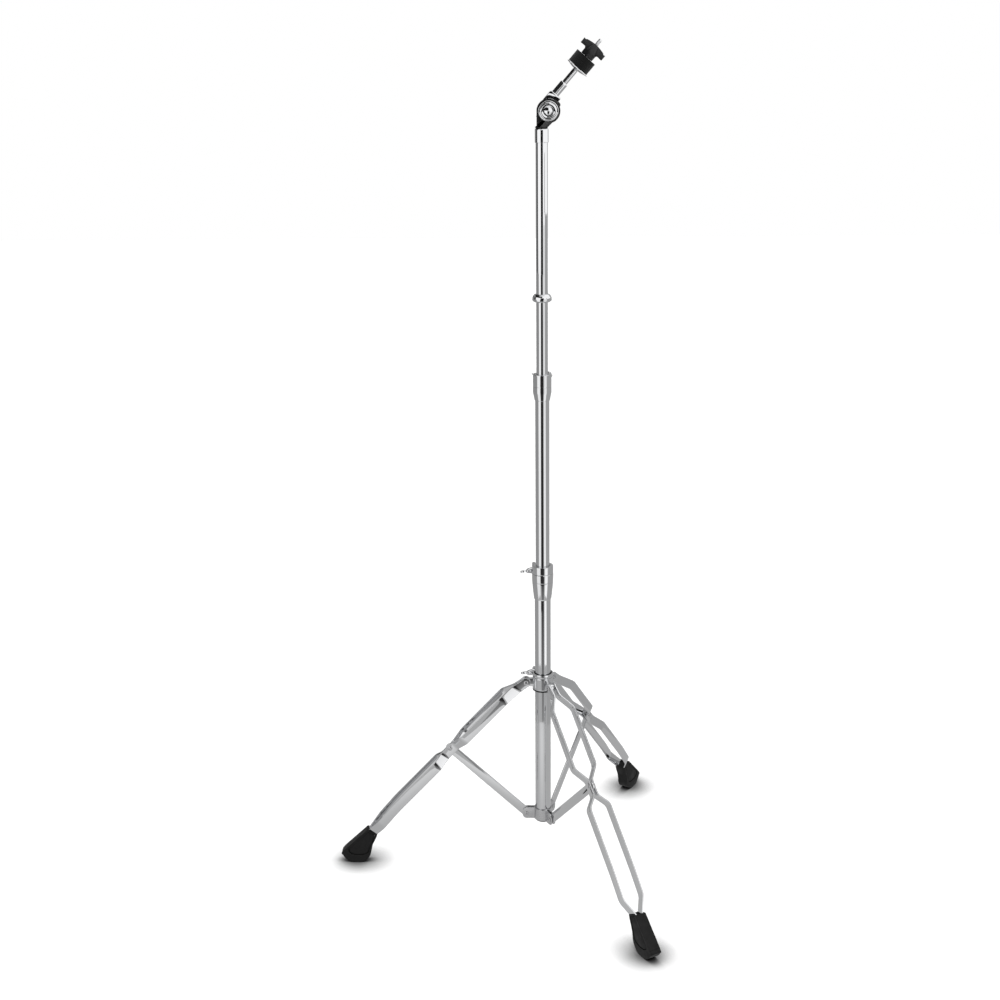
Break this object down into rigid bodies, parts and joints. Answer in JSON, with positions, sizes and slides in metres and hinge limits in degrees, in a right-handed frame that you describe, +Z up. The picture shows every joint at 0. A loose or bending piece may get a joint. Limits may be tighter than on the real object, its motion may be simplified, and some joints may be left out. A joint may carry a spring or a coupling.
{
  "type": "cymbal stand",
  "caption": "Folding straight cymbal stand with double-strip tripod legs, telescoping tubes, toothed tilter and a felted cymbal seat.",
  "frame": {"origin": "on the floor, under the centre of the stand's bounds; the tubes' line is 89.3 mm towards +X", "axes": "+Z up along the tubes, -X towards the left leg, -Y towards the camera in the picture"},
  "size_m": [0.5678, 0.655, 1.4598],
  "materials": {
    "chrome": "polished chrome plate",
    "plated_steel": "nickel plate",
    "rubber": "moulded, matt",
    "black_plastic": "satin",
    "black_paint": "gloss black",
    "black_felt": "felt"
  },
  "bodies": {
    "base": {"base_tube": "chrome", "base_tube_plug": "black_plastic", "bottom_bracket": "plated_steel", "bracket_rivet_left": "plated_steel", "bracket_rivet_front": "plated_steel", "bracket_rivet_back": "plated_steel", "lower_clamp": "chrome", "lower_clamp_nut": "plated_steel"},
    "stay_left": {"stay_left": "chrome"},
    "leg_left": {"leg_strip_left_a": "chrome", "leg_strip_left_b": "chrome", "waist_rivet_left": "plated_steel", "foot_left": "rubber"},
    "stay_front": {"stay_front": "chrome"},
    "leg_front": {"leg_strip_front_a": "chrome", "leg_strip_front_b": "chrome", "waist_rivet_front": "plated_steel", "foot_front": "rubber"},
    "stay_back": {"stay_back": "chrome"},
    "leg_back": {"leg_strip_back_a": "chrome", "leg_strip_back_b": "chrome", "waist_rivet_back": "plated_steel", "foot_back": "rubber"},
    "hub": {"leg_hub": "chrome", "hub_bush": "black_plastic", "hub_rivet_left": "plated_steel", "hub_rivet_front": "plated_steel", "hub_rivet_back": "plated_steel", "hub_clamp_nut": "plated_steel"},
    "hub_wing_bolt": {"hub_wing_bolt": "chrome"},
    "lower_wing_bolt": {"lower_wing_bolt": "chrome"},
    "lower_bush": {"lower_clamp_bush": "black_plastic"},
    "middle": {"middle_tube": "chrome", "upper_clamp": "chrome", "upper_clamp_nut": "plated_steel"},
    "upper_wing_bolt": {"upper_wing_bolt": "chrome"},
    "upper_bush": {"upper_clamp_bush": "black_plastic"},
    "top": {"top_tube": "chrome", "stop_ring": "chrome", "tilter_sleeve": "chrome", "tilter_body": "black_paint", "tilter_cap": "chrome", "tilter_bolt": "chrome"},
    "tilter_arm": {"tilter_arm": "chrome", "cymbal_rod": "chrome", "cup_washer": "chrome", "cymbal_sleeve": "black_plastic", "felt_lower": "black_felt", "felt_upper": "black_felt"},
    "tilter_wing_nut": {"tilter_wing_nut": "black_plastic"},
    "top_wing_nut": {"top_wing_nut": "black_plastic"}
  },
  "joints": [
    {"name": "stay_left_fold", "type": "hinge", "parent": "base", "child": "stay_left", "pos_m": [0.05931, 0, 0.10062], "axis": [0, 1, 0], "range_deg": [-8, 41]},
    {"name": "leg_left_waist", "type": "hinge", "parent": "stay_left", "child": "leg_left", "pos_m": [-0.07883, 0, 0.23034], "axis": [0, -1, 0], "range_deg": [-17, 83]},
    {"name": "stay_front_fold", "type": "hinge", "parent": "base", "child": "stay_front", "pos_m": [0.10431, -0.02598, 0.10062], "axis": [-0.866, -0.5, 0], "range_deg": [-9, 42]},
    {"name": "leg_front_waist", "type": "hinge", "parent": "stay_front", "child": "leg_front", "pos_m": [0.17338, -0.14561, 0.23034], "axis": [0.866, 0.5, 0], "range_deg": [-17, 83]},
    {"name": "stay_back_fold", "type": "hinge", "parent": "base", "child": "stay_back", "pos_m": [0.10431, 0.02598, 0.10062], "axis": [0.866, -0.5, 0], "range_deg": [-9, 42]},
    {"name": "leg_back_waist", "type": "hinge", "parent": "stay_back", "child": "leg_back", "pos_m": [0.17338, 0.14561, 0.23034], "axis": [-0.866, 0.5, 0], "range_deg": [-17, 83]},
    {"name": "hub_on_left_leg", "type": "hinge", "parent": "leg_left", "child": "hub", "pos_m": [0.05931, 0, 0.36007], "axis": [0, 1, 0], "range_deg": [-9, 42]},
    {"name": "hub_wing_bolt_turn", "type": "hinge", "parent": "hub", "child": "hub_wing_bolt", "pos_m": [0.07874, 0.02266, 0.37107], "axis": [-0.9063, -0.4226, 0], "range_deg": [-15, 80]},
    {"name": "lower_wing_bolt_turn", "type": "hinge", "parent": "base", "child": "lower_wing_bolt", "pos_m": [0.07874, 0.02266, 0.56462], "axis": [-0.9063, -0.4226, 0], "continuous": true},
    {"name": "lower_swivel", "type": "hinge", "parent": "base", "child": "lower_bush", "pos_m": [0.08931, 0, 0.57362], "axis": [0, 0, 1], "continuous": true},
    {"name": "middle_tube_slide", "type": "slide", "parent": "lower_bush", "child": "middle", "axis": [0, 0, 1], "range_m": [-0.285, 0.04]},
    {"name": "upper_wing_bolt_turn", "type": "hinge", "parent": "middle", "child": "upper_wing_bolt", "pos_m": [0.09295, 0.02068, 0.91422], "axis": [-0.9848, 0.1736, 0], "continuous": true},
    {"name": "upper_swivel", "type": "hinge", "parent": "middle", "child": "upper_bush", "pos_m": [0.08931, 0, 0.91162], "axis": [0, 0, 1], "continuous": true},
    {"name": "top_tube_slide", "type": "slide", "parent": "upper_bush", "child": "top", "axis": [0, 0, 1], "range_m": [-0.118, 0.09]},
    {"name": "tilter_tilt", "type": "hinge", "parent": "top", "child": "tilter_arm", "pos_m": [0.10011, 0, 1.34862], "axis": [0, 1, 0], "range_deg": [-77, 41]},
    {"name": "tilter_wing_nut_turn", "type": "hinge", "parent": "top", "child": "tilter_wing_nut", "pos_m": [0.10011, 0, 1.34862], "axis": [0, 1, 0], "continuous": true},
    {"name": "top_wing_nut_turn", "type": "hinge", "parent": "tilter_arm", "child": "top_wing_nut", "pos_m": [0.16265, 0, 1.43345], "axis": [0.66, 0, 0.7513], "continuous": true}
  ],
  "couplings": [
    {"joint": "leg_left_waist", "follows": "stay_left_fold", "ratio": 2},
    {"joint": "stay_front_fold", "follows": "stay_left_fold", "ratio": 1},
    {"joint": "leg_front_waist", "follows": "stay_left_fold", "ratio": 2},
    {"joint": "stay_back_fold", "follows": "stay_left_fold", "ratio": 1},
    {"joint": "leg_back_waist", "follows": "stay_left_fold", "ratio": 2},
    {"joint": "hub_on_left_leg", "follows": "stay_left_fold", "ratio": 1}
  ]
}
